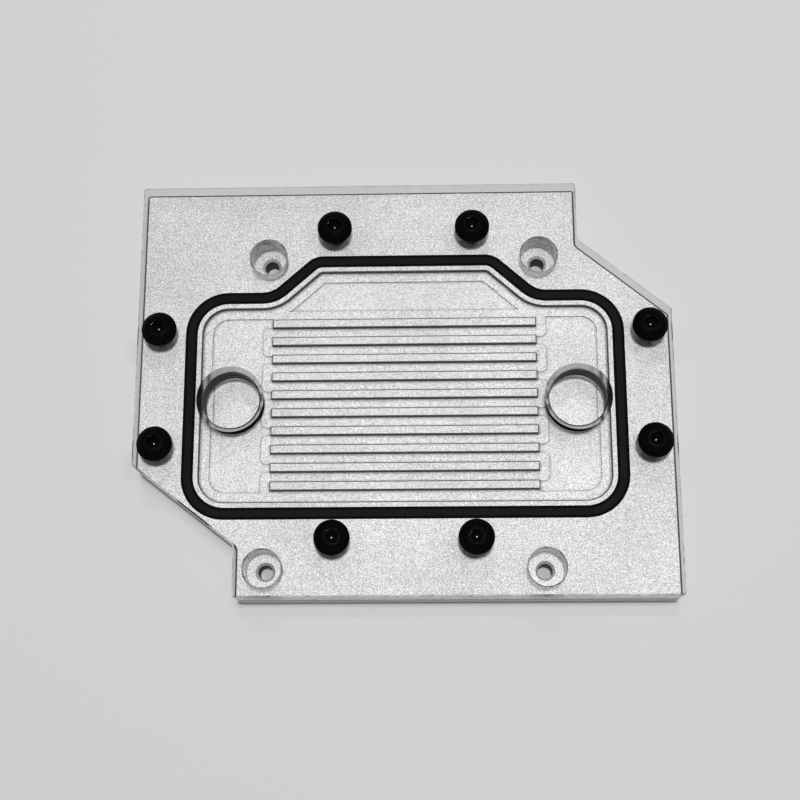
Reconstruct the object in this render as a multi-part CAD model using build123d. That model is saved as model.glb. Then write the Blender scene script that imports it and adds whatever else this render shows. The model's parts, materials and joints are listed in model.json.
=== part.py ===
from build123d import *
import math
import os

# A liquid cooling block for the back of a graphics card: a milled metal base with ten cooling
# fins standing in its chamber, a rubber sealing ring in a groove round the chamber, a clear
# cover with two threaded ports, and eight button-head screws that hold the cover down.
# Millimetres. X runs from the left port to the right one, Y up the face, Z out of the cover.
# The origin is the centre of the outline's box, on the flat face that lies on the card.

# Holes that fasten the block to the card: a hole in the base, and a wider one above it for the
# screw's head and its driver
mount_spacing_x = 56.3
mount_spacing_y = 65.0
mount_hole_diameter = 3.0
mount_hole_bevel = 0.5
access_hole_diameter = 7.5
access_hole_bevel = 0.25
mount_x = mount_spacing_x / 2

# Outline, the same for the base and the cover. It reaches past the middles of the mounting holes
# by these two distances, above and below
plate_length = 110.0
mount_to_upper_edge = 15.85
mount_to_lower_edge = 5.65
plate_width = mount_spacing_y + mount_to_upper_edge + mount_to_lower_edge
mount_middle_y = (mount_to_lower_edge - mount_to_upper_edge) / 2
outer_corner_radius = 0.6
inner_corner_radius = 1.5

# The corner cut away at the upper right: a short straight step, then a slope. The step stands
# clear of the mounting hole beside it
mount_to_right_step = 8.05
right_step_x = mount_x + mount_to_right_step
right_cut_down_side = 27.8
right_cut_step = 12.4

# The corner cut away at the lower left
mount_to_left_step = 5.85
left_step_x = -mount_x - mount_to_left_step
left_cut_up_side = 26.6
left_cut_step = 10.4

# Thicknesses and edge bevels
base_thickness = 5.0
cover_thickness = 6.5
base_bevel = 0.4
cover_bevel = 0.3

# Cover screws at the sides: in from the ends of the plate, and just past the cut corners
end_to_side_screw = 4.6
side_screw_x = plate_length / 2 - end_to_side_screw
right_cut_to_screw = 3.7
side_screw_upper_y = plate_width / 2 - right_cut_down_side - right_cut_to_screw
left_cut_to_screw = 4.25
side_screw_lower_y = -plate_width / 2 + left_cut_up_side + left_cut_to_screw

# Height on the face of the middle of the chamber, the ports and the fins
mount_middle_to_chamber = 2.05
chamber_middle_y = mount_middle_y + mount_middle_to_chamber

# Middle line of the sealing ring, measured from the middle of the chamber. It runs inside the
# side screws, and its peak rises between the two upper mounting holes
seal_to_side_screw = 5.95
seal_half_length = side_screw_x - seal_to_side_screw
seal_half_width = 22.9
seal_corner_radius = 7.7
seal_peak_height = 30.85
seal_foot_to_mount = 0.85
seal_foot_half_length = mount_x - seal_foot_to_mount
seal_slope_run = 8.9
seal_peak_half_length = seal_foot_half_length - seal_slope_run
seal_peak_radius = 3.5
seal_foot_radius = 6.4

# The round cord that the ring is made of, and the groove that squeezes it
seal_cord_diameter = 2.0
groove_depth = 1.55
seal_side_gap = 0.07

# Cover screws above and below the chamber, just outside the ring
peak_end_to_screw = 4.05
end_screw_half_spacing = seal_peak_half_length - peak_end_to_screw
seal_to_upper_screw = 5.8
upper_screw_y = chamber_middle_y + seal_peak_height + seal_to_upper_screw
seal_to_lower_screw = 5.7
lower_screw_y = chamber_middle_y - seal_half_width - seal_to_lower_screw

# Chamber: a flat strip stands between the groove and the bevelled rim of the chamber. The fins'
# top edges have the same bevel
land_width = 0.9
rim_bevel = 0.2
chamber_depth = 1.6
border_width = 1.95
field_extra_depth = 0.3
sharpest_inner_radius = 0.4

# Threaded ports in the cover: the tapping bore, with a bevel at each mouth
seal_to_port = 9.05
port_half_spacing = seal_half_length - seal_to_port
port_bore_diameter = 11.8
port_top_bevel = 1.0
port_bottom_bevel = 0.2

# Cooling fins, left standing by a cutter that runs to and fro between them. The channels share
# the height of the chamber that the fins leave
fin_count = 10
fin_width = 1.85
port_to_fin_end = 7.9
fin_length = 2 * (port_half_spacing - port_to_fin_end)
seal_to_cutter_run = 2.75
cutter_run_width = 2 * (seal_half_width - seal_to_cutter_run)
channel_width = (cutter_run_width - fin_count * fin_width) / (fin_count + 1)

# Cover screws, button head with a hexagon socket. Each tip stays this far above the underside
screw_diameter = 4.0
screw_tip_height = 1.5
screw_length = base_thickness + cover_thickness - screw_tip_height
screw_tip_bevel = 0.5
screw_head_diameter = 7.2
screw_head_height = 2.2
screw_head_rim = 0.7
screw_head_flat_diameter = 3.7
socket_across_flats = 2.5
socket_depth = 1.3
screw_hole_clearance = 0.25
screw_thread_clearance = 0.05
screw_hole_extra_depth = 0.7

SCREW_PLACES = {
    "cover_screw_top_left": (-end_screw_half_spacing, upper_screw_y),
    "cover_screw_top_right": (end_screw_half_spacing, upper_screw_y),
    "cover_screw_bottom_left": (-end_screw_half_spacing, lower_screw_y),
    "cover_screw_bottom_right": (end_screw_half_spacing, lower_screw_y),
    "cover_screw_left_upper": (-side_screw_x, side_screw_upper_y),
    "cover_screw_left_lower": (-side_screw_x, side_screw_lower_y),
    "cover_screw_right_upper": (side_screw_x, side_screw_upper_y),
    "cover_screw_right_lower": (side_screw_x, side_screw_lower_y),
}
PORT_PLACES = [(side * port_half_spacing, chamber_middle_y) for side in (-1, 1)]
MOUNT_PLACES = [
    (side * mount_x, mount_middle_y + up * mount_spacing_y / 2)
    for side in (-1, 1)
    for up in (-1, 1)
]

# Heights of the faces that the pieces share
base_top = base_thickness
cover_top = base_thickness + cover_thickness
chamber_floor = base_top - chamber_depth

# The squeezed ring keeps the section area of its cord. It is as wide as a strip with round sides,
# and the bevels at its four edges take off as much as the rounding would
cord_area = math.pi * seal_cord_diameter**2 / 4
seal_width = groove_depth + (cord_area - math.pi * groove_depth**2 / 4) / groove_depth
seal_bevel = groove_depth * math.sqrt((1 - math.pi / 4) / 2)
groove_width = seal_width + 2 * seal_side_gap
chamber_inset = groove_width / 2 + land_width + rim_bevel
field_inset = chamber_inset + border_width

fin_pitch = fin_width + channel_width
fin_places = [
    chamber_middle_y + (fin_count - 1) * fin_pitch / 2 - row * fin_pitch for row in range(fin_count)
]

# How far the cutting shapes pass through a face, so that no skin is left on it
overcut = 1.0


def plate_outline():
    """The outline of both plates, with two opposite corners cut away."""
    left, right = -plate_length / 2, plate_length / 2
    low, high = -plate_width / 2, plate_width / 2
    corners = [
        ((left, high), outer_corner_radius),
        ((right_step_x, high), outer_corner_radius),
        ((right_step_x, high - right_cut_step), inner_corner_radius),
        ((right, high - right_cut_down_side), outer_corner_radius),
        ((right, low), outer_corner_radius),
        ((left_step_x, low), outer_corner_radius),
        ((left_step_x, low + left_cut_step), inner_corner_radius),
        ((left, low + left_cut_up_side), outer_corner_radius),
    ]
    points = [point for point, _ in corners]
    radii = [radius for _, radius in corners]
    return make_face(FilletPolyline(*points, radius=radii, close=True))


def seal_loop(inset):
    """The ring's outline moved inwards by inset: concentric corners and parallel sides."""
    slope = math.atan2(
        seal_peak_height - seal_half_width, seal_foot_half_length - seal_peak_half_length
    )
    shift = inset * math.tan(slope / 2)
    half_length = seal_half_length - inset
    low = chamber_middle_y - seal_half_width + inset
    shoulder = chamber_middle_y + seal_half_width - inset
    peak = chamber_middle_y + seal_peak_height - inset
    peak_x = seal_peak_half_length - shift
    foot_x = seal_foot_half_length - shift
    corner = max(seal_corner_radius - inset, sharpest_inner_radius)
    foot = seal_foot_radius + inset
    top = max(seal_peak_radius - inset, sharpest_inner_radius)
    points = [
        (-half_length, low),
        (half_length, low),
        (half_length, shoulder),
        (foot_x, shoulder),
        (peak_x, peak),
        (-peak_x, peak),
        (-foot_x, shoulder),
        (-half_length, shoulder),
    ]
    radii = [corner, corner, corner, foot, top, top, foot, corner]
    return make_face(FilletPolyline(*points, radius=radii, close=True))


def box_between(x_low, x_high, y_low, y_high):
    """A flat rectangle given by its four sides."""
    middle = Pos((x_low + x_high) / 2, (y_low + y_high) / 2)
    return middle * Rectangle(x_high - x_low, y_high - y_low)


def turned(points):
    """A solid turned about Z from the half section that the points draw in X and Z."""
    section = make_face(Polyline(*[(x, 0, z) for x, z in points], close=True))
    return revolve(section, Axis.Z)


def bevelled_hole(radius, low, high, low_bevel, high_bevel):
    """The space of a round hole from low to high, wider at each mouth that has a bevel."""
    points = [(0, low - overcut)]
    points.append((radius + low_bevel, low - overcut))
    points.append((radius + low_bevel, low))
    if low_bevel:
        points.append((radius, low + low_bevel))
    if high_bevel:
        points.append((radius, high - high_bevel))
    points.append((radius + high_bevel, high))
    points.append((radius + high_bevel, high + overcut))
    points.append((0, high + overcut))
    return turned(points)


def plate(bottom, thickness, bottom_bevel, top_bevel):
    """One plate of the outline, standing on the height bottom, with bevelled edges."""
    body = Pos(0, 0, bottom) * extrude(plate_outline(), thickness)
    upper = body.faces().sort_by(Axis.Z)[-1].edges()
    body = chamfer(upper, top_bevel)
    lower = body.faces().sort_by(Axis.Z)[0].edges()
    return chamfer(lower, bottom_bevel)


def fins():
    """The straight fins, as seen from above."""
    strips = [Pos(0, y) * Rectangle(fin_length, fin_width) for y in fin_places]
    return Sketch() + strips


def turn_round_fin(row, side):
    """The patch that the cutter clears as it turns round one end of a fin."""
    reach = fin_length / 2 + channel_width
    half_height = fin_width / 2 + channel_width
    patch = box_between(0, reach, fin_places[row] - half_height, fin_places[row] + half_height)
    ends = patch.vertices().group_by(Axis.X)[-1]
    patch = fillet(ends, channel_width / 2)
    return patch if side > 0 else mirror(patch, Plane.YZ)


def cutter_run():
    """The whole to-and-fro run: right round the odd fins, left round the even ones."""
    reach_y = fin_places[0] + fin_width / 2 + channel_width
    low_y = fin_places[-1] - fin_width / 2 - channel_width
    run = Sketch() + box_between(-fin_length / 2, fin_length / 2, low_y, reach_y)
    for row in range(fin_count):
        side = 1 if row % 2 == 0 else -1
        run += turn_round_fin(row, side)
    return run


def floor_fields():
    """The three slightly deeper fields of the floor: by each port and under the peak."""
    inside = seal_loop(field_inset)
    top_y = fin_places[0] + fin_width / 2 + channel_width
    above_fins = box_between(
        -seal_foot_half_length, seal_foot_half_length, top_y, top_y + seal_peak_height
    )
    port_rows = box_between(
        -seal_half_length,
        seal_half_length,
        chamber_middle_y - seal_half_width,
        chamber_middle_y + seal_half_width - field_inset,
    )
    beside = (inside & port_rows) - cutter_run()
    return beside + (inside & above_fins)


def base_plate():
    """The metal base, milled from one plate."""
    body = plate(0, base_thickness, base_bevel, base_bevel)
    groove = seal_loop(-groove_width / 2) - seal_loop(groove_width / 2)
    body -= Pos(0, 0, base_top) * extrude(groove, -groove_depth)
    chamber = seal_loop(chamber_inset) - fins()
    body -= Pos(0, 0, base_top) * extrude(chamber, -chamber_depth)
    *fin_tops, land, _ = body.faces().group_by(Axis.Z)[-1].sort_by(SortBy.AREA)
    rims = [edge for top in fin_tops for edge in top.edges()]
    rims += land.inner_wires()[0].edges()
    body = chamfer(rims, rim_bevel)
    fields = floor_fields() - fins()
    body -= Pos(0, 0, chamber_floor) * extrude(fields, -field_extra_depth)
    mount_radius = mount_hole_diameter / 2
    for x, y in MOUNT_PLACES:
        body -= Pos(x, y) * bevelled_hole(mount_radius, 0, base_top, 0, mount_hole_bevel)
    thread_radius = screw_diameter / 2 + screw_thread_clearance
    hole_floor = cover_top - screw_length - screw_hole_extra_depth
    for x, y in SCREW_PLACES.values():
        cut_height = base_top - hole_floor
        hole = Cylinder(thread_radius, cut_height, align=(Align.CENTER, Align.CENTER, Align.MAX))
        body -= Pos(x, y, base_top) * hole
    return body


def clear_cover():
    """The clear cover plate with its ports, screw holes and holes down to the mounting holes."""
    body = plate(base_top, cover_thickness, cover_bevel, cover_bevel)
    port_radius = port_bore_diameter / 2
    for x, y in PORT_PLACES:
        port = bevelled_hole(port_radius, base_top, cover_top, port_bottom_bevel, port_top_bevel)
        body -= Pos(x, y) * port
    access_radius = access_hole_diameter / 2
    for x, y in MOUNT_PLACES:
        hole = bevelled_hole(access_radius, base_top, cover_top, 0, access_hole_bevel)
        body -= Pos(x, y) * hole
    screw_radius = screw_diameter / 2 + screw_hole_clearance
    for x, y in SCREW_PLACES.values():
        body -= Pos(x, y) * bevelled_hole(screw_radius, base_top, cover_top, 0, 0)
    return body


def sealing_ring():
    """The rubber ring, squeezed flat between the groove's floor and the cover."""
    strip = seal_loop(-seal_width / 2) - seal_loop(seal_width / 2)
    body = Pos(0, 0, base_top - groove_depth) * extrude(strip, groove_depth)
    rims = body.edges().filter_by(Axis.Z, reverse=True)
    return chamfer(rims, seal_bevel)


def cover_screw():
    """One button-head screw, its head resting at height 0."""
    shank = screw_diameter / 2
    tip = -screw_length
    head = screw_head_diameter / 2
    flat = screw_head_flat_diameter / 2
    dome_rise = screw_head_height - screw_head_rim
    dome_centre = (flat**2 + dome_rise**2 - head**2) / (2 * dome_rise)
    dome_radius = math.hypot(head, dome_centre)
    mid_angle = (math.atan2(-dome_centre, head) + math.atan2(dome_rise - dome_centre, flat)) / 2
    dome_middle = (
        dome_radius * math.cos(mid_angle),
        screw_head_rim + dome_centre + dome_radius * math.sin(mid_angle),
    )
    lower = Polyline(
        (flat, 0, screw_head_height),
        (0, 0, screw_head_height),
        (0, 0, tip),
        (shank - screw_tip_bevel, 0, tip),
        (shank, 0, tip + screw_tip_bevel),
        (shank, 0, 0),
        (head, 0, 0),
        (head, 0, screw_head_rim),
    )
    dome = ThreePointArc(
        (head, 0, screw_head_rim),
        (dome_middle[0], 0, dome_middle[1]),
        (flat, 0, screw_head_height),
    )
    body = revolve(make_face(lower + dome), Axis.Z)
    across_corners = socket_across_flats / math.cos(math.pi / 6)
    socket = RegularPolygon(across_corners / 2, 6)
    return body - Pos(0, 0, screw_head_height) * extrude(socket, -socket_depth)


def main():
    os.makedirs("parts", exist_ok=True)
    pieces = {
        "base_plate": base_plate(),
        "clear_cover": clear_cover(),
        "sealing_ring": sealing_ring(),
    }
    screw = cover_screw()
    for name, (x, y) in SCREW_PLACES.items():
        pieces[name] = Pos(x, y, cover_top) * screw
    for name, piece in pieces.items():
        export_step(piece, f"parts/{name}.step")
        print(name, round(piece.volume, 1), "mm3")


main()
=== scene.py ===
# %% [markdown]
# # A liquid cooling block for the back of a graphics card
#
# The real block is a sandwich. A milled metal base carries a small pool with ten cooling fins, a
# black rubber ring lies in a groove round the pool, and a clear acrylic cover is screwed down on
# top with eight black button-head screws. Two threaded ports let the coolant in and out.
#
# The solid pieces arrive finished from the CAD model, at their real size. This notebook dresses
# them: it cuts the threads, rounds the rubber, gives every piece its finish, and sets up the
# light, the floor and the camera.

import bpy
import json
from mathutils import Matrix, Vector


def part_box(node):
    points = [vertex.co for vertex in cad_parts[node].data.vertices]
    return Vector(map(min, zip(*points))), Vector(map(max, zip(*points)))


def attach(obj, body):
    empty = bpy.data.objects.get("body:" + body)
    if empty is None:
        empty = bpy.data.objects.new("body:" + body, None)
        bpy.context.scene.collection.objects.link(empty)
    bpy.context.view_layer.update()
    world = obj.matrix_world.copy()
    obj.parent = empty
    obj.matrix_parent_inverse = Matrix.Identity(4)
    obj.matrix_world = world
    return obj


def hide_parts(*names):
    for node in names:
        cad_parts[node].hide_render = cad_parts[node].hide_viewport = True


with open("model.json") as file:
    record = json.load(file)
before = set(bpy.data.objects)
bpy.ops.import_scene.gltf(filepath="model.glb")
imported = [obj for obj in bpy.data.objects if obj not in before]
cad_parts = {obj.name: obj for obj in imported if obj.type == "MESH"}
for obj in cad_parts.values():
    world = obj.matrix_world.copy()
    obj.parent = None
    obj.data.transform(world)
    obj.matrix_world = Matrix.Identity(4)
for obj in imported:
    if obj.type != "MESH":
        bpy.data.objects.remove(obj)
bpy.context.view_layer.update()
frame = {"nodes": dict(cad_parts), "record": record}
print("pieces from the CAD model:", sorted(frame["nodes"]))

# %% [markdown]
# ## Tools of the workshop
#
# Blender's own modules are enough. `bmesh` builds meshes point by point, `mathutils` turns
# vectors, and `random` gives each screw its own turn. The seed is fixed, so every run is alike.

# %% Blender's own modules
import json
import math
import random

import bmesh
import bpy
from mathutils import Matrix, Vector

scene = bpy.context.scene
dice = random.Random(8)
mm = 0.001
body = "root"
print("all lengths are in metres, and one millimetre is", mm)

# %% [markdown]
# ## Where things are
#
# The heights and places could be typed in, but then they would drift from the CAD model. So the
# heights of the plates are read from the boxes of the CAD pieces, and the ports and card holes
# from the mounts in the record that is packed with the model.

# %% Read heights, ports and screws from the frame
base_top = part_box("base_plate")[1].z
cover_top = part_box("clear_cover")[1].z
mounts = {mount["name"]: mount for mount in frame["record"]["mounts"]}


def middle_of(mount):
    """The point on a mount's axis, seen from above."""
    return Vector(mount["pos_m"][:2])


ports = [mounts["port_left"], mounts["port_right"]]
port_places = [middle_of(port) for port in ports]
card_holes = [mount for name, mount in mounts.items() if name.startswith("card_hole")]
card_hole_places = [middle_of(hole) for hole in card_holes]
screw_names = sorted(name for name in frame["nodes"] if name.startswith("cover_screw"))
print("base top", round(base_top / mm, 2), "mm, cover top", round(cover_top / mm, 2), "mm")
print("ports:", len(port_places), "card holes:", len(card_hole_places), "screws:", len(screw_names))

# %% [markdown]
# ## Camera
#
# The photograph looks down on the face from a little below its middle. The camera could be set
# by eye, but the edges would never quite meet those of the picture. So the outline, the ports
# and the fin ends were matched to it, and that gave the lens, the place and the turn of the
# camera. The lens is written in pixels first, because that is how it was measured.

# %% Place the camera
picture_side = 800
focal_pixels = 1368.9
camera_height = 268.776 * mm
camera_data = bpy.data.cameras.new("camera")
camera_data.sensor_width = 36.0
camera_data.lens = camera_data.sensor_width * focal_pixels / picture_side
camera_data.clip_start = 0.01
camera = bpy.data.objects.new("camera", camera_data)
camera.location = (6.869 * mm, -72.187 * mm, cover_top + camera_height)
camera.rotation_euler = (0.24969, 0.02886, -0.00186)
scene.collection.objects.link(camera)
scene.camera = camera
print("lens", round(camera_data.lens, 1), "mm")

# %% [markdown]
# ## Dim fill
#
# A room gives back a little light from all sides. A world of one pale, slightly cool colour does
# that. It is kept dim, because more of it would wash out the shadows.

# %% World
world = bpy.data.worlds.new("studio")
scene.world = world
world.use_nodes = True
fill = world.node_tree.nodes["Background"].inputs
fill["Color"].default_value = (0.92, 0.96, 1.0, 1.0)
fill["Strength"].default_value = 0.08
scene.view_settings.view_transform = "Standard"
print("world strength", round(fill["Strength"].default_value, 2))

# %% [markdown]
# ## Lamps
#
# In the photograph every shadow is short and leans a little towards the middle of the block, and
# no lamp is mirrored in the clear cover. One wide lamp would be simpler, but it would lie on the
# acrylic as a pale patch. So a small main softbox hangs nearly straight overhead, and three
# weaker ones stand to the left, to the right and beyond. All four keep just outside the part of
# the sky that the polished face mirrors towards the camera.


# %% Hang four softboxes
def softbox(name, place, width, power):
    """A round softbox, width metres across, that hangs at a place and faces the block."""
    data = bpy.data.lights.new(name, "AREA")
    data.shape = "DISK"
    data.size = width
    data.energy = power
    lamp = bpy.data.objects.new(name, data)
    lamp.location = place
    towards_face = Vector((0.0, 0.0, base_top)) - lamp.location
    lamp.rotation_euler = towards_face.to_track_quat("-Z", "Y").to_euler()
    scene.collection.objects.link(lamp)


softbox("softbox_overhead", place=(0.03, 0.01, 1.2), width=0.1, power=6.65)
softbox("softbox_left", place=(-0.36, 0.12, 0.85), width=0.14, power=0.3)
softbox("softbox_right", place=(0.32, 0.12, 0.85), width=0.14, power=0.65)
softbox("softbox_beyond", place=(0.0, 0.5, 0.85), width=0.14, power=0.8)

# %% [markdown]
# ## A short way to write finishes
#
# Every finish below is a small network of nodes. Pictures could be wrapped round the pieces
# instead, but nodes stay sharp at any distance and need no unwrapping. Written out, such a
# network takes many lines. So a helper adds a node, sets its options, and fills its sockets with
# plain values or with links, and a finish reads like a recipe.


# %% A board of nodes
class NodeBoard:
    """A material that is built up node by node."""

    def __init__(self, name):
        self.material = bpy.data.materials.new(name)
        self.material.use_nodes = True
        self.tree = self.material.node_tree
        self.tree.nodes.clear()
        self.output = self.add("ShaderNodeOutputMaterial")

    def add(self, kind, sockets=None, **options):
        """Add a node. sockets maps a socket's name or number to a value or to another output."""
        node = self.tree.nodes.new(kind)
        for name, value in options.items():
            setattr(node, name, value)
        for name, value in (sockets or {}).items():
            if isinstance(value, bpy.types.NodeSocket):
                self.tree.links.new(value, node.inputs[name])
            else:
                node.inputs[name].default_value = value
        return node

    def finish(self, shader):
        """Send the shader to the material's surface and return the material."""
        self.tree.links.new(shader, self.output.inputs["Surface"])
        return self.material


print("node board ready")

# %% [markdown]
# ### Patterns
#
# Grain, tool marks, dust and smears could each have a pattern of its own kind. But all of them
# are clouds, only finer, coarser or stretched, so one kind of noise does for them all. The shape
# of the piece gives one more pattern: how open each spot is.


# %% Patterns from noise and from the shape
class Patterns(NodeBoard):
    """Patterns that tell one spot of a piece from another."""

    def point(self):
        """The point on the piece, in metres."""
        return self.add("ShaderNodeTexCoord").outputs["Object"]

    def noise(self, grain, detail=2.0, stretch=(1, 1, 1)):
        """Cloudy noise between 0 and 1 whose blobs are about grain metres wide.

        The noise fades on planes one grain apart, so it is raised by half a grain. That keeps
        those planes out of the flat faces.
        """
        point = self.add(
            "ShaderNodeVectorMath",
            {0: self.point(), 1: stretch, 2: (0, 0, grain / 2)},
            operation="MULTIPLY_ADD",
        )
        texture = self.add(
            "ShaderNodeTexNoise",
            {"Vector": point.outputs[0], "Scale": 1.0 / grain, "Detail": detail},
        )
        return texture.outputs[0]

    def between(self, factor, low, high, start=0.0, end=1.0):
        """Turn a factor that runs from start to end into a value from low to high."""
        sockets = {
            "Value": factor,
            "From Min": start,
            "From Max": end,
            "To Min": low,
            "To Max": high,
        }
        return self.add("ShaderNodeMapRange", sockets).outputs["Result"]

    def swing(self, noise, reach):
        """Turn noise, which keeps mostly between 0.3 and 0.7, into a swing of reach either way."""
        return self.between(noise, -reach, reach, 0.3, 0.7)

    def openness(self, reach):
        """1 on an open face, less where the same piece stands in the way within reach metres."""
        node = self.add("ShaderNodeAmbientOcclusion", {"Distance": reach})
        node.samples = 4
        node.only_local = True
        return node.outputs["AO"]


print("patterns ready")

# %% [markdown]
# ### From patterns to a surface
#
# A pattern is only a number at each spot. It turns into a finish when it picks a shade, when it
# bends the surface a little, or when it tells the shader how rough to be.


# %% Shades, bumps and the shader
class Finish(Patterns):
    """A finish: patterns, and what they do to the surface."""

    def shades(self, factor, dark, light):
        """Turn a factor from 0 to 1 into a grey or a colour from dark to light."""
        mix = self.add("ShaderNodeMix", {0: factor, 6: dark, 7: light}, data_type="RGBA")
        return mix.outputs[2]

    def combine(self, operation, first, second):
        """One step of arithmetic on two values."""
        return self.add("ShaderNodeMath", {0: first, 1: second}, operation=operation).outputs[0]

    def bump(self, height, depth, strength, under=None):
        """Bend the surface's normal as if height, from 0 to 1, were depth metres deep."""
        sockets = {"Height": height, "Distance": depth, "Strength": strength}
        if under is not None:
            sockets["Normal"] = under
        return self.add("ShaderNodeBump", sockets).outputs["Normal"]

    def principled(self, **sockets):
        """The usual shader. An underscore in a socket's name stands for a space."""
        named = {name.replace("_", " "): value for name, value in sockets.items()}
        return self.add("ShaderNodeBsdfPrincipled", named).outputs[0]


def grey(value):
    """A plain grey."""
    return (value, value, value, 1.0)


print("finish helper ready")

# %% [markdown]
# ## Floor
#
# A sheet of pale paper, much larger than the view. It takes the block's shadow, and a faint
# cloudiness keeps it from looking like a flat fill. A plain plane does for paper. It lies a hair
# under the block, because two faces in one plane would flicker.

# %% Lay the floor
floor_side = 3.0
floor_drop = 0.05 * mm
bpy.ops.mesh.primitive_plane_add(size=floor_side, location=(0, 0, -floor_drop))
floor = bpy.context.object
floor.name = "floor"

paper = Finish("floor_paper")
paper_tone = paper.shades(paper.noise(0.3), grey(0.88), grey(0.92))
floor.data.materials.append(paper.finish(paper.principled(Base_Color=paper_tone, Roughness=0.9)))
print("floor", floor_side, "m wide")

# %% [markdown]
# ## Copies to work on
#
# The CAD pieces themselves stay as they are. Each piece is a copy that takes the CAD piece's
# place. A modifier only shows its result, so reading the evaluated object back into a new mesh
# makes the result real. Shading comes after that: level faces stay flat, because light has to
# pass straight through the clear ones, and curved walls look smooth up to their sharp edges.


# %% Copy, apply, shade and hand over
def copy_of(node, name):
    """A new piece with its own copy of a CAD node's mesh."""
    piece = bpy.data.objects.new(name, frame["nodes"][node].data.copy())
    scene.collection.objects.link(piece)
    return piece


def apply_modifiers(piece):
    """Turn what the piece's modifiers show into its own mesh."""
    graph = bpy.context.evaluated_depsgraph_get()
    result = bpy.data.meshes.new_from_object(piece.evaluated_get(graph))
    piece.modifiers.clear()
    piece.data = result


level_enough = 0.95
sharp_edge = math.radians(30)


def shade(piece):
    """Shade level faces flat and all others smooth, up to each sharp edge."""
    if "custom_normal" in piece.data.attributes:
        piece.data.attributes.remove(piece.data.attributes["custom_normal"])
    for face in piece.data.polygons:
        face.use_smooth = abs(face.normal.z) < level_enough
    piece.data.set_sharp_from_angle(angle=sharp_edge)


def hand_over(piece, node):
    """Let a piece stand in for a CAD node: hang it on the body and hide the node."""
    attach(piece, body)
    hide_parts(node)


print("copy tools ready")

# %% [markdown]
# ## One piece, several finishes
#
# A milled piece rarely looks the same all over: a bore is duller than a polished face. The piece
# could be cut up, but real plates are whole. So a piece carries a list of finishes, and each face
# says which one it shows.


# %% Give finishes to faces
def dress(piece, *finishes):
    """Give a piece its finishes in place of the plain ones."""
    piece.data.materials.clear()
    for finish in finishes:
        piece.data.materials.append(finish)


def sort_faces(piece, finish_of):
    """Give each face the finish that finish_of picks for it, and count the faces of each."""
    order = [finish.name for finish in piece.data.materials]
    counts = dict.fromkeys(order, 0)
    for face in piece.data.polygons:
        name = finish_of(face).name
        face.material_index = order.index(name)
        counts[name] += 1
    return counts


def near(point, places, reach):
    """Whether a point is within reach of one of the places, seen from above."""
    return any((Vector(point[:2]) - place).length < reach for place in places)


print("dressing tools ready")

# %% [markdown]
# ## Milled and blasted metal
#
# The base was cut from one plate by a milling cutter, and then got a fine silvery grain. One even
# grey would look like card. So three patterns lie over each other: a speckle of lighter and
# darker grains, a trace of the long straight tool marks, and slow clouds in the gloss. The rim,
# the highest level, is a shade darker than the floor of the pool. The height of a face tells the
# nodes which is which. The corners at the feet of walls get painted shade, darker still.

# %% Metal of the base
deepest_field = 3.1 * mm
rim_level = base_top - 0.05 * mm
dull_grey = (0.44, 0.44, 0.445, 1)
bright_grey = (0.84, 0.84, 0.84, 1)


def milled_metal(name, painted_brightness):
    """Silvery metal with a blasted grain over straight tool marks, dimmed by painted shade as
    asked.
    """
    metal = Finish(name)
    # The patterns, and how far up the piece a point lies.
    speckle = metal.noise(0.18 * mm, detail=3.0)
    grain = metal.noise(0.45 * mm)
    marks = metal.noise(0.16 * mm, stretch=(0.015, 1.0, 1.0))
    clouds = metal.noise(16 * mm)
    height = metal.add("ShaderNodeSeparateXYZ", {0: metal.point()}).outputs["Z"]
    # The rim, the highest level, is made a shade darker than the pool floor.
    toward_rim = metal.between(height, 0.0, 1.0, deepest_field, rim_level)

    # How light each grain is: darker towards the rim, and dimmed by painted shade in corners and on
    # the shaded copies.
    spread = metal.combine("ADD", metal.swing(speckle, 1.45), 0.5)
    spread = metal.combine("ADD", spread, metal.swing(marks, 0.14))
    spread = metal.combine("ADD", spread, metal.between(toward_rim, 0.07, -0.1))
    tone = metal.shades(spread, dull_grey, bright_grey)
    # Painted shade: the colour darkens where the same piece stands close by, as at the feet of
    # walls.
    painted_nook_shade = metal.between(metal.openness(0.6 * mm), 0.35, 1.0, 0.55, 0.95)
    tone = metal.shades(painted_nook_shade, grey(0.02), tone)
    # Painted shade: the whole colour is dimmed for the copies on walls, bevels and bores.
    tone = metal.shades(painted_brightness, grey(0.0), tone)

    # Level faces mirror more than steep ones, and the grain stands up a little.
    up = metal.add("ShaderNodeNewGeometry").outputs["True Normal"]
    upward = metal.add("ShaderNodeSeparateXYZ", {0: up}).outputs["Z"]
    upward = metal.combine("ABSOLUTE", upward, 0.0)
    gloss = metal.between(upward, 0.0, 0.95, 0.65, 0.98)
    rough = metal.between(clouds, 0.56, 0.64)
    rough = metal.combine("ADD", rough, metal.between(grain, -0.05, 0.05))
    normal = metal.bump(marks, 0.002 * mm, 0.3)
    normal = metal.bump(speckle, 0.01 * mm, 0.8, under=normal)
    shader = metal.principled(Base_Color=tone, Metallic=gloss, Roughness=rough, Normal=normal)
    return metal.finish(shader)


print("metal recipe ready")

# %% [markdown]
# ### Open faces, walls, bevels and bores
#
# On the real base the walls inside the pool show as thin dark lines, their bevels as grey ones,
# and the card holes as dark discs: all of it shade. A shadow in the nodes alone came out too weak
# and uneven. So the shade is painted: the same metal is made in four strengths, and a face takes
# one by its place: near a card hole or not, inside the pool or outside, level, slanting or steep.

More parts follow.
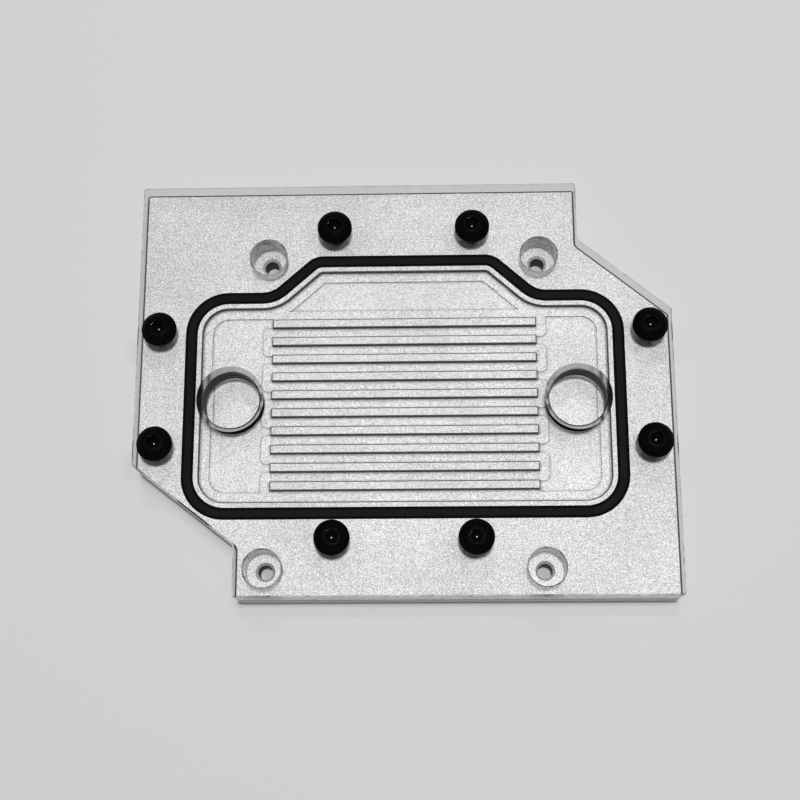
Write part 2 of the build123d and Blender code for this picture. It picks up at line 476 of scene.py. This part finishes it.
# %% Dress the base
# Painted shade: the pool walls, their bevels and the card-hole bores take darker copies of the
# metal.
open_metal = milled_metal("milled_metal", painted_brightness=1.0)
shaded_wall_metal = milled_metal("pool_wall_metal", painted_brightness=0.1)
shaded_bevel_metal = milled_metal("shaded_bevel_metal", painted_brightness=0.3)
shaded_bore_metal = milled_metal("shaded_bore_metal", painted_brightness=0.02)
metals = [open_metal, shaded_wall_metal, shaded_bevel_metal, shaded_bore_metal]
print("metals:", [metal.name for metal in metals])

pool_level = 3.0 * mm
bore_reach = 2.4 * mm
steep_enough = 0.3
base = copy_of("base_plate", "base_plate_milled")
shade(base)


# Steep and slanting faces in the pool, and the card-hole bores, take the painted-shade copies.
def metal_of(face):
    """The metal that a face of the base shows."""
    lowest = min(base.data.vertices[k].co.z for k in face.vertices)
    levelness = abs(face.normal.z)
    is_steep = levelness < steep_enough
    if near(face.center, card_hole_places, bore_reach):
        return shaded_bore_metal if is_steep else open_metal
    if lowest > pool_level and levelness < level_enough:
        return shaded_wall_metal if is_steep else shaded_bevel_metal
    return open_metal


dress(base, *metals)
print("faces of the base:", sort_faces(base, metal_of))
hand_over(base, "base_plate")

# %% [markdown]
# ## Rubber
#
# Moulded rubber is very black, a little shiny, and never quite smooth. It could be a flat black,
# but then the ring would look like a hole. A fine orange peel and a trace of dust give the light
# something to catch.


# %% Rubber finish
def ring_rubber():
    """Moulded rubber: black, slightly shiny, with a fine orange peel."""
    rubber = Finish("ring_rubber")
    peel = rubber.noise(0.3 * mm)
    dust = rubber.between(rubber.noise(0.5 * mm, detail=4.0), 0.0, 1.0, 0.55, 0.8)
    shader = rubber.principled(
        Base_Color=rubber.shades(dust, grey(0.002), grey(0.008)),
        Roughness=rubber.between(rubber.noise(5 * mm), 0.5, 0.65),
        Specular_IOR_Level=0.08,
        Normal=rubber.bump(peel, 0.006 * mm, 0.5),
    )
    return rubber.finish(shader)


print("rubber recipe ready")

# %% [markdown]
# ## Sealing ring
#
# The ring is a round cord, squeezed flat between the groove and the cover. It could be swept
# anew along the groove, but the CAD solid already has the right path, width and height. Only its
# plain bevels are too hard, so a bevel modifier rounds them.

# %% Round the ring
ring = copy_of("sealing_ring", "sealing_ring_rounded")
rounding = ring.modifiers.new("round", "BEVEL")
rounding.width = 0.2 * mm
rounding.segments = 3
rounding.limit_method = "ANGLE"
rounding.angle_limit = sharp_edge
apply_modifiers(ring)
dress(ring, ring_rubber())
for face in ring.data.polygons:
    face.use_smooth = True
hand_over(ring, "sealing_ring")
print("ring has", len(ring.data.polygons), "faces")

# %% [markdown]
# ## Skins and cuts
#
# A tap, a screw blank and a punch all have the same build: rings of points, one after another,
# with a skin between them and a lid on each end. One helper makes all three. A second one takes
# a shape away from a piece, as a cutter would. Moving the points of the piece by hand would be
# slow, and the edges would never quite meet, so a boolean modifier does it.


# %% Skin a shape and cut with it
def skin(name, rings):
    """A closed shape over rings of points: walls from each ring to the next, and two lids."""
    mesh = bmesh.new()
    loops = [[mesh.verts.new(point) for point in ring] for ring in rings]
    for one, other in zip(loops, loops[1:]):
        for k in range(len(one)):
            following = (k + 1) % len(one)
            mesh.faces.new((one[k], one[following], other[following], other[k]))
    mesh.faces.new(loops[0])
    mesh.faces.new(loops[-1])
    bmesh.ops.recalc_face_normals(mesh, faces=mesh.faces)
    data = bpy.data.meshes.new(name)
    mesh.to_mesh(data)
    mesh.free()
    shape = bpy.data.objects.new(name, data)
    scene.collection.objects.link(shape)
    return shape


def cut(piece, tool):
    """Take the tool away from the piece, and delete the tool."""
    bpy.context.view_layer.update()
    modifier = piece.modifiers.new("cut", "BOOLEAN")
    modifier.operation = "DIFFERENCE"
    modifier.solver = "EXACT"
    modifier.object = tool
    apply_modifiers(piece)
    bpy.data.objects.remove(tool)


print("skin and cut ready")

# %% [markdown]
# ## Threads
#
# A thread is a groove that runs along a helix. The cutter for it is a ridge: a trapezoid section
# carried round the axis, broad at its foot and narrow at its tip. Pointed outwards and taken away
# from the cover it leaves the inside thread of a port, and pointed inwards and taken away from a
# shank it leaves the outside thread of a screw. The ridge fades in and out over half a turn, as a
# real thread runs out.

# %% A helical ridge to cut threads with
fading_turns = 0.5
thinnest = 0.05


def thread_ridge(name, foot, tip, pitch, low, high, around):
    """A closed ridge on a helix. foot and tip are (radius, height of the section there) pairs."""
    foot_radius, foot_width = foot
    tip_radius, tip_width = tip
    steps = round((high - low) / pitch * around)
    fading = round(fading_turns * around)
    rings = []
    for step in range(steps + 1):
        angle = 2 * math.pi * step / around
        middle = low + pitch * step / around
        grown = min(step / fading, (steps - step) / fading, 1.0)
        reach = foot_radius + (tip_radius - foot_radius) * max(grown, thinnest)
        corners = [(foot_radius, -foot_width / 2), (reach, -tip_width / 2)]
        corners += [(reach, tip_width / 2), (foot_radius, foot_width / 2)]
        flat = Vector((math.cos(angle), math.sin(angle)))
        rings.append([(*(flat * radius), middle + rise) for radius, rise in corners])
    return skin(name, rings)


print("thread cutter ready")

# %% [markdown]
# ## Clear cover
#
# The cover is cast acrylic. Its two faces are polished, its outline and its holes were milled,
# and the two ports have the pipe thread of common cooling fittings: 1.337 mm from turn to turn,
# with flanks 55 degrees apart. A picture of a thread would look flat through the clear wall, so
# it is cut for real. A hair is taken off the cover's top and bottom, so that no face of it lies
# exactly in a face of the metal below, which would flicker.

# %% Copy the cover and cut the port threads
hair = 0.015 * mm
port_pitch = 1.337 * mm
port_root_radius = 6.58 * mm
port_root_width = 0.13 * mm
port_flank_slope = math.tan(math.radians(55 / 2))
ridge_start = 0.12 * mm
thread_lead = 1.5 * mm

cover = copy_of("clear_cover", "clear_cover_threaded")
for port, place in zip(ports, port_places):
    foot_radius = port["dims"]["r_mm"] * mm - ridge_start
    foot_width = port_root_width + 2 * (port_root_radius - foot_radius) * port_flank_slope
    ridge = thread_ridge(
        "port_tap",
        foot=(foot_radius, foot_width),
        tip=(port_root_radius, port_root_width),
        pitch=port_pitch,
        low=base_top - port_pitch,
        high=cover_top - thread_lead,
        around=72,
    )
    ridge.location = (*place, 0)
    cut(cover, ridge)
    print(port["name"], "threaded, the cover now has", len(cover.data.polygons), "faces")
for vertex in cover.data.vertices:
    vertex.co.z = min(max(vertex.co.z, base_top + hair), cover_top - hair)
shade(cover)

# %% [markdown]
# ### Acrylic
#
# Real light bends on its way into the cover, spreads over the metal and bends on its way out. A
# renderer finds such paths slowly and noisily. So the material is true glass only for the eye:
# for shadow rays and for light that bounces off the metal it is open, tinted by how much such a
# surface lets through. Threads and milled walls scatter light, so they let less of it pass, and
# that is what gives each hole its soft shadow on the metal.


# %% Recipe for acrylic
def clear_acrylic(
    name, tint, lets_through, rough, grain_size, grain_depth, gleam=0.5, scratches=0.0
):
    """Acrylic with a ground or polished surface that is open to shadow and bounced light."""
    acrylic = Finish(name)
    # What the surface looks like: its grain, and scratches where a cutter left them.
    grain = acrylic.noise(grain_size)
    normal = acrylic.bump(grain, grain_depth, 0.5)
    clouds = grain
    if scratches:
        lines = acrylic.noise(0.2 * mm, detail=1.0, stretch=(0.2, 0.2, 3.0))
        normal = acrylic.bump(lines, scratches, 0.6, under=normal)
        haze = acrylic.noise(1.6 * mm, detail=3.0)
        clouds = acrylic.between(acrylic.combine("ADD", lines, haze), 0.0, 1.0, 0.75, 1.25)
    smear = acrylic.noise(7 * mm, detail=3.0)
    glass = acrylic.principled(
        Base_Color=acrylic.shades(clouds, tint[0], tint[1]),
        Roughness=acrylic.between(smear, rough[0], rough[1], 0.35, 0.65),
        IOR=1.49,
        Specular_IOR_Level=gleam,
        Transmission_Weight=1.0,
        Normal=normal,
    )
    # Glass for the eye, and an open way for shadow rays and for light off the metal.
    path = acrylic.add("ShaderNodeLightPath").outputs
    bounced = acrylic.combine("MAXIMUM", path["Is Diffuse Ray"], path["Is Glossy Ray"])
    open_way = acrylic.combine("MAXIMUM", bounced, path["Is Shadow Ray"])
    clear = acrylic.add("ShaderNodeBsdfTransparent", {"Color": grey(lets_through)}).outputs[0]
    mix = acrylic.add("ShaderNodeMixShader", {0: open_way, 1: glass, 2: clear})
    return acrylic.finish(mix.outputs[0])


print("acrylic recipe ready")

# %% [markdown]
# ### Five surfaces of one sheet
#
# One recipe covers the whole sheet, and only its numbers differ. Polish is clear and smooth. The
# milled outline is hazy, with fine level scratches from the cutter. The bores of the card holes
# are tinted darker and the threads nearly black, as painted shade for the dark that these walls
# show. The bevels at the port mouths are ground.

# %% Finishes of the cover
polished = clear_acrylic(
    "polished_acrylic",
    tint=((0.965, 0.98, 0.98, 1), (0.985, 0.99, 0.99, 1)),
    lets_through=0.985,
    rough=(0.0, 0.02),
    grain_size=4 * mm,
    grain_depth=0.001 * mm,
)
milled = clear_acrylic(
    "milled_acrylic",
    tint=(grey(0.15), grey(0.75)),
    lets_through=0.8,
    rough=(0.2, 0.34),
    grain_size=0.15 * mm,
    grain_depth=0.02 * mm,
    scratches=0.01 * mm,
)
# Painted shade: the threads are tinted nearly black.
threaded = clear_acrylic(
    "threaded_acrylic",
    tint=(grey(0.0), grey(0.003)),
    lets_through=0.12,
    rough=(0.28, 0.4),
    grain_size=0.1 * mm,
    grain_depth=0.01 * mm,
    gleam=0.12,
)
# Painted shade: the bores are tinted dark.
bored = clear_acrylic(
    "bored_acrylic",
    tint=(grey(0.0), grey(0.3)),
    lets_through=0.5,
    rough=(0.12, 0.26),
    grain_size=0.12 * mm,
    grain_depth=0.015 * mm,
    gleam=0.3,
    scratches=0.01 * mm,
)
bevelled = clear_acrylic(
    "bevelled_acrylic",
    tint=(grey(0.15), grey(0.65)),
    lets_through=0.5,
    rough=(0.2, 0.34),
    grain_size=0.15 * mm,
    grain_depth=0.02 * mm,
    gleam=0.3,
)
acrylics = [polished, milled, threaded, bored, bevelled]
print("cover finishes:", [acrylic.name for acrylic in acrylics])

# %% [markdown]
# ### Which face gets which
#
# Each face of the cover gets its finish from what cut it. Picking thousands of faces by hand is
# hopeless, so their place decides. Level faces are polished. The others are bored near a card
# hole, threaded near the axis of a port, with a ground bevel at its mouth, and milled round the
# outline.

# %% Dress the cover
port_reach = 7.3 * mm
hole_reach = 4.5 * mm
above_threads = cover_top - 1.0 * mm


def acrylic_of(face):
    """The finish that a face of the cover shows."""
    if abs(face.normal.z) > level_enough:
        return polished
    if near(face.center, card_hole_places, hole_reach):
        return bored
    if near(face.center, port_places, port_reach):
        on_bevel = face.normal.z > steep_enough and face.center.z > above_threads
        return bevelled if on_bevel else threaded
    return milled


dress(cover, *acrylics)
print("faces of the cover:", sort_faces(cover, acrylic_of))
hand_over(cover, "clear_cover")

# %% [markdown]
# ## Cover screws
#
# Eight alike. A button head is turned on a lathe, so its outline is a profile that runs from the
# axis over the flat top and the dome to the rim, and down the shank to the tip. The CAD screws
# could be dressed as they are, but a finer dome and softened edges catch the light as real ones
# do. The main sizes are measured on a CAD screw.

# %% Measure a screw
sample_low, sample_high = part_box(screw_names[0])
head_radius = (sample_high.x - sample_low.x) / 2
head_height = sample_high.z - cover_top
shank_length = cover_top - sample_low.z
shank_radius = 2.0 * mm
rim_height = 0.7 * mm
flat_radius = 1.85 * mm
print("head", round(2 * head_radius / mm, 2), "mm wide and", round(head_height / mm, 2), "mm high")

# %% [markdown]
# ### Turn the blank
#
# The dome is one arc from the rim to the flat top, so two points and the middle on the axis fix
# it. Spinning the whole profile round the axis gives the blank.

# %% Spin the profile
edge = 0.12 * mm
edge_out = edge * 0.35
edge_down = edge * 0.3
tip_bevel = 0.5 * mm


def dome(count):
    """Points on the arc from the flat top of the head down to its rim."""
    rise = head_height - rim_height
    sink = (flat_radius**2 + rise**2 - head_radius**2) / (2 * rise)
    radius = math.hypot(head_radius, sink)
    at_rim = math.degrees(math.atan2(-sink, head_radius))
    at_top = math.degrees(math.atan2(rise - sink, flat_radius))
    points = []
    for step in range(count, -1, -1):
        angle = math.radians(at_rim + (at_top - at_rim) * step / count)
        points.append((radius * math.cos(angle), rim_height + sink + radius * math.sin(angle)))
    return points


def lathe(name, profile, around):
    """Spin a profile of (radius, height) pairs about Z."""
    turns = [2 * math.pi * step / around for step in range(around)]
    rings = []
    for radius, height in profile:
        rings.append([(radius * math.cos(turn), radius * math.sin(turn), height) for turn in turns])
    return skin(name, rings)


flat_top = [(flat_radius - edge, head_height), (flat_radius + edge_out, head_height - edge_down)]
rim = [(head_radius, edge), (head_radius - edge_down, edge_down), (head_radius - edge, 0.0)]
neck = [(shank_radius + edge, 0.0), (shank_radius, -edge)]
shank_tip = [(shank_radius, tip_bevel - shank_length), (shank_radius - tip_bevel, -shank_length)]
blank = lathe("cover_screw_turned", flat_top + dome(10)[1:] + rim + neck + shank_tip, around=64)
print("blank has", len(blank.data.polygons), "faces")

# %% [markdown]
# ### Press the socket
#
# The socket of a real screw is drilled and then pressed with a six-sided punch, which leaves the
# cone of the drill at the bottom and slightly rounded lips at the top. The punch here has the
# same form, so one cut leaves both. A short bright dash on one side of each screw's lips is a
# painted glint, added with the finishes.

# %% Punch a hexagon
across_flats = 2.5 * mm
socket_depth = 1.3 * mm
lip = 0.035 * mm
lip_steps = 4
punch_points = 24
drill_radius = 1.2 * mm
drill_tip_radius = 0.22 * mm
drill_tip_depth = 0.03 * mm
drill_slope = math.tan(math.radians(30))
sixth_turn = math.pi / 3


def punch_ring(radius, height, six_sided):
    """A ring of points, round or with six flats that are radius away from the axis."""
    points = []
    for k in range(punch_points):
        turn = 2 * math.pi * k / punch_points
        reach = radius / math.cos(turn % sixth_turn - sixth_turn / 2) if six_sided else radius
        points.append((reach * math.cos(turn), reach * math.sin(turn), height))
    return points


def socket_punch():
    """A hexagon prism with a flared mouth, over the cone that a drill left."""
    socket_floor = head_height - socket_depth
    cone_floor = socket_floor - (drill_radius - drill_tip_radius) * drill_slope
    rings = [
        punch_ring(drill_tip_radius / 2, cone_floor - drill_tip_depth, six_sided=False),
        punch_ring(drill_tip_radius, cone_floor, six_sided=False),
        punch_ring(drill_radius, socket_floor, six_sided=False),
        punch_ring(across_flats / 2, socket_floor, six_sided=True),
    ]
    for step in range(lip_steps + 1):
        angle = math.pi / 2 * step / lip_steps
        radius = across_flats / 2 + lip * (1 - math.cos(angle))
        height = head_height - lip + lip * math.sin(angle)
        rings.append(punch_ring(radius, height, six_sided=True))
    rings.append(punch_ring(across_flats / 2 + lip, head_height + lip, six_sided=True))
    return skin("socket_punch", rings)


cut(blank, socket_punch())
print("blank with its socket has", len(blank.data.polygons), "faces")

# %% [markdown]
# ### Roll the thread
#
# The thread is the common one for a 4 mm screw: 0.7 mm from turn to turn, with flanks 60 degrees
# apart. A real die rolls it, and here the ridge cuts it, from just outside the shank inwards.

# %% Thread the shank
screw_pitch = 0.7 * mm
screw_root_radius = 1.57 * mm
screw_root_width = screw_pitch / 4
screw_flank_slope = math.tan(math.radians(30))
outside = shank_radius + 0.04 * mm
outside_width = screw_root_width + 2 * (outside - screw_root_radius) * screw_flank_slope
thread_end = -1.2 * mm
screw_sharp_edge = math.radians(28)

ridge = thread_ridge(
    "screw_die",
    foot=(outside, outside_width),
    tip=(screw_root_radius, screw_root_width),
    pitch=screw_pitch,
    low=-shank_length - screw_pitch,
    high=thread_end,
    around=48,
)
cut(blank, ridge)
for face in blank.data.polygons:
    face.use_smooth = True
blank.data.set_sharp_from_angle(angle=screw_sharp_edge)
print("screw has", len(blank.data.polygons), "faces")

# %% [markdown]
# ### Black oxide
#
# The screws are hardened steel, blackened in a hot bath and oiled. That leaves a deep black with
# a soft gloss. Plain black would look like plastic, so it has a faint grain. On one side of the
# lips, and at the tip of the drill cone, bright steel is painted on as a glint.


# %% Black oxide and bare steel
def black_oxide():
    """Blackened steel with a soft sheen and a trace of grain."""
    steel = Finish("black_oxide")
    grain = steel.noise(0.15 * mm)
    worn = steel.between(steel.noise(0.6 * mm, detail=3.0), 0.0, 1.0, 0.5, 0.8)
    shader = steel.principled(
        Base_Color=steel.shades(worn, grey(0.004), grey(0.007)),
        Roughness=steel.between(steel.noise(1.5 * mm), 0.28, 0.4),
        Specular_IOR_Level=0.012,
        Normal=steel.bump(grain, 0.002 * mm, 0.4),
    )
    return steel.finish(shader)


def painted_glint_steel():
    """Bright steel, painted on as a glint on the socket's lips and drill tip."""
    steel = Finish("painted_glint_steel")
    glint_mottle = steel.between(steel.noise(0.5 * mm, detail=3.0), 0.0, 1.0, 0.5, 0.7)
    tone = steel.shades(glint_mottle, grey(0.18), grey(0.45))
    rough = steel.between(steel.noise(0.2 * mm), 0.25, 0.4)
    return steel.finish(steel.principled(Base_Color=tone, Metallic=1.0, Roughness=rough))


oxide, glint_steel_finish = black_oxide(), painted_glint_steel()
print("screw finishes:", oxide.name, glint_steel_finish.name)

# %% [markdown]
# ### Where the glint is painted
#
# A glint is painted on: the faces on one side of the socket's lips, and at the tip of the drill
# cone, take bright steel. They are found by their height, their distance from the axis and the
# angle round it.

# %% Dress the screw
# The painted glint spans these angles round the axis, in degrees.
glint_from, glint_to = 85, 125
lip_reach = across_flats / 2 / math.cos(sixth_turn / 2) + 2 * lip
lip_bottom = head_height - lip
lip_top = head_height - lip / 50
socket_bottom = head_height - socket_depth


def steel_of(face):
    """The finish that a face of the screw shows."""
    middle = face.center
    away = middle.xy.length
    around = math.degrees(math.atan2(middle.y, middle.x))
    on_lip = lip_bottom < middle.z < lip_top and away < lip_reach
    in_tip = 0 < middle.z < socket_bottom and away < drill_tip_radius
    # Painted glint: one side of the lips and the drill tip take bright steel.
    if in_tip or (on_lip and glint_from < around < glint_to):
        return glint_steel_finish
    return oxide


dress(blank, oxide, glint_steel_finish)
print("faces of a screw:", sort_faces(blank, steel_of))

# %% [markdown]
# ### Set the screws
#
# All eight screws are copies of one mesh. Each stands where its CAD screw stands, and is turned
# by a chance angle, because nobody lines sockets up. A hexagon looks the same again after a sixth
# of a turn, so that is the most. The turn goes into the copied mesh, so that the box round each
# screw stays square to the block.

# %% Place eight screws
for name in screw_names:
    low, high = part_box(name)
    turned = blank.data.copy()
    turned.transform(Matrix.Rotation(dice.uniform(0, sixth_turn), 4, "Z"))
    screw = bpy.data.objects.new(name + "_threaded", turned)
    screw.location = ((low.x + high.x) / 2, (low.y + high.y) / 2, cover_top)
    scene.collection.objects.link(screw)
    hand_over(screw, name)
bpy.data.objects.remove(blank)
print("screws set:", len(screw_names))
